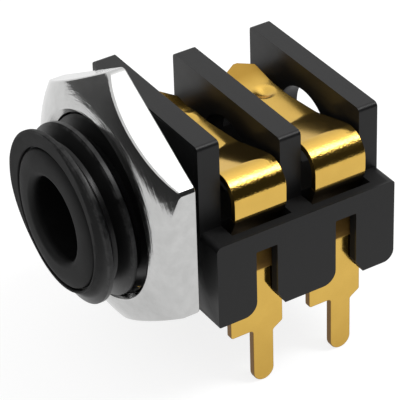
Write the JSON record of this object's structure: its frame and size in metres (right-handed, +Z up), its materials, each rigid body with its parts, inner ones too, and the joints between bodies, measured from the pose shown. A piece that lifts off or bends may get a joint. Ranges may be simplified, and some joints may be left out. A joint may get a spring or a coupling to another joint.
{
  "type": "audio jack socket",
  "caption": "Panel and board jack socket: black moulded housing with a threaded bush, a chromed hexagon nut, and gilt spring contacts that bear on the plug and on break contacts.",
  "frame": {"origin": "on the plug's axis, in the plane of the front wall's face that meets the panel", "axes": "-Y is the way the plug leaves, +Z is up and away from the printed board, +X is the side of the two spring contacts' pins"},
  "size_m": [0.0104, 0.0129, 0.0138],
  "materials": {
    "black_moulding": "satin black moulding",
    "chromed_nut": "bright plated",
    "gilt_contact": "bright gilt plating with fine draw lines"
  },
  "bodies": {
    "socket": {"housing": "black_moulding", "sleeve_spring": "gilt_contact", "tip_spring": "gilt_contact", "sleeve_break_contact": "gilt_contact", "tip_break_contact": "gilt_contact"},
    "nut": {"panel_nut": "chromed_nut"}
  },
  "joints": [
    {"name": "nut_turn", "type": "hinge", "parent": "socket", "child": "nut", "pos_m": [0, 0, 0], "axis": [0, 1, 0], "continuous": true}
  ]
}
